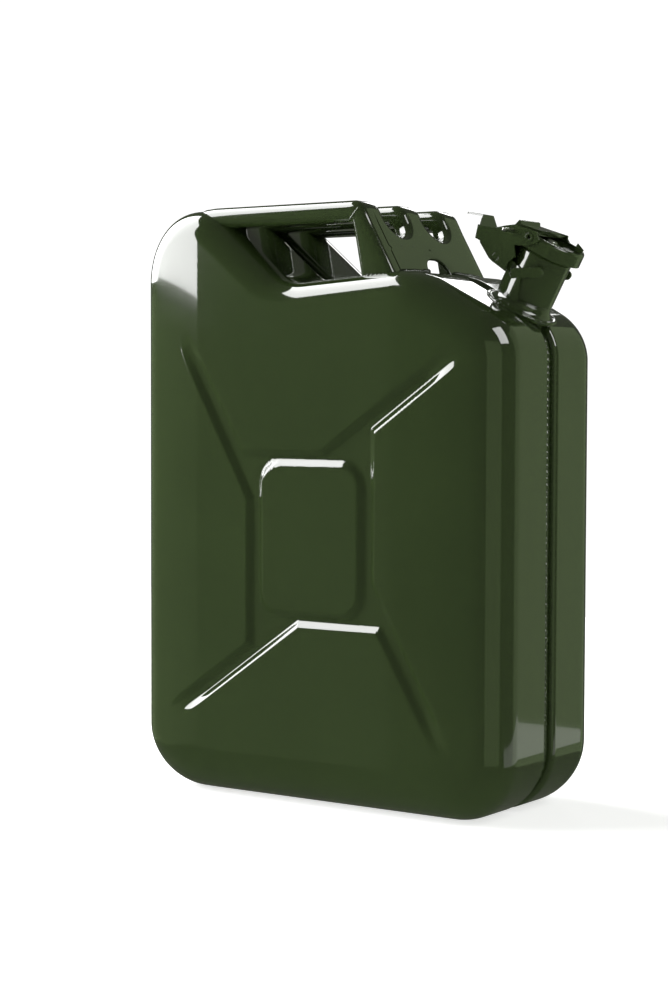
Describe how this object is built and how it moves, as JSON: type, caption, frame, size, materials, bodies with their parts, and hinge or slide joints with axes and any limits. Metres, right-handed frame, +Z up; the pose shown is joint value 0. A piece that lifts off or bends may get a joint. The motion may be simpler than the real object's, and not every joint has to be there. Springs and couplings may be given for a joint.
{
  "type": "jerry can",
  "caption": "Pressed steel fuel can with carrying bars over a sloping shoulder and a hinged cam lever that clamps a gasketed lid on an angled spout.",
  "frame": {"origin": "middle of the can's footprint on the ground, taken over its whole length with the closure", "axes": "+Z up, +X toward the spout end, -Y out of the front face"},
  "size_m": [0.3696, 0.164, 0.47],
  "materials": {
    "green_paint": "glossy olive green enamel",
    "plated_steel": "zinc plated",
    "rubber": "matt black"
  },
  "bodies": {
    "can": {"front_shell": "green_paint", "rear_shell": "green_paint", "seam_weld": "green_paint", "neck": "green_paint", "neck_collar": "green_paint", "neck_weld": "green_paint", "handle_front": "green_paint", "handle_middle": "green_paint", "handle_rear": "green_paint", "end_plate": "green_paint", "foot_weld_front": "green_paint", "foot_weld_rear": "green_paint", "hinge_strap": "green_paint", "hinge_lug_front": "green_paint", "hinge_lug_rear": "green_paint", "hinge_pin": "plated_steel", "vent_tube": "plated_steel", "vent_clip": "plated_steel"},
    "lever": {"lever": "green_paint", "strongback": "green_paint", "lid_rivet_front": "plated_steel", "lid_rivet_rear": "plated_steel"},
    "lid": {"lid": "green_paint", "gasket": "rubber", "gasket_retainer": "plated_steel"},
    "locking_pin": {"locking_pin": "plated_steel"}
  },
  "joints": [
    {"name": "lever_hinge", "type": "hinge", "parent": "can", "child": "lever", "pos_m": [0.12336, 0, 0.42621], "axis": [0, -1, 0], "range_deg": [0, 50]},
    {"name": "lid_pivot", "type": "hinge", "parent": "lever", "child": "lid", "pos_m": [0.15263, 0, 0.4393], "axis": [0, -1, 0], "range_deg": [0, 12.5]},
    {"name": "locking_pin_slide", "type": "slide", "parent": "lever", "child": "locking_pin", "axis": [0, -1, 0], "range_m": [0, 0.055]}
  ],
  "couplings": [
    {"joint": "lid_pivot", "follows": "lever_hinge", "ratio": 0.25}
  ]
}
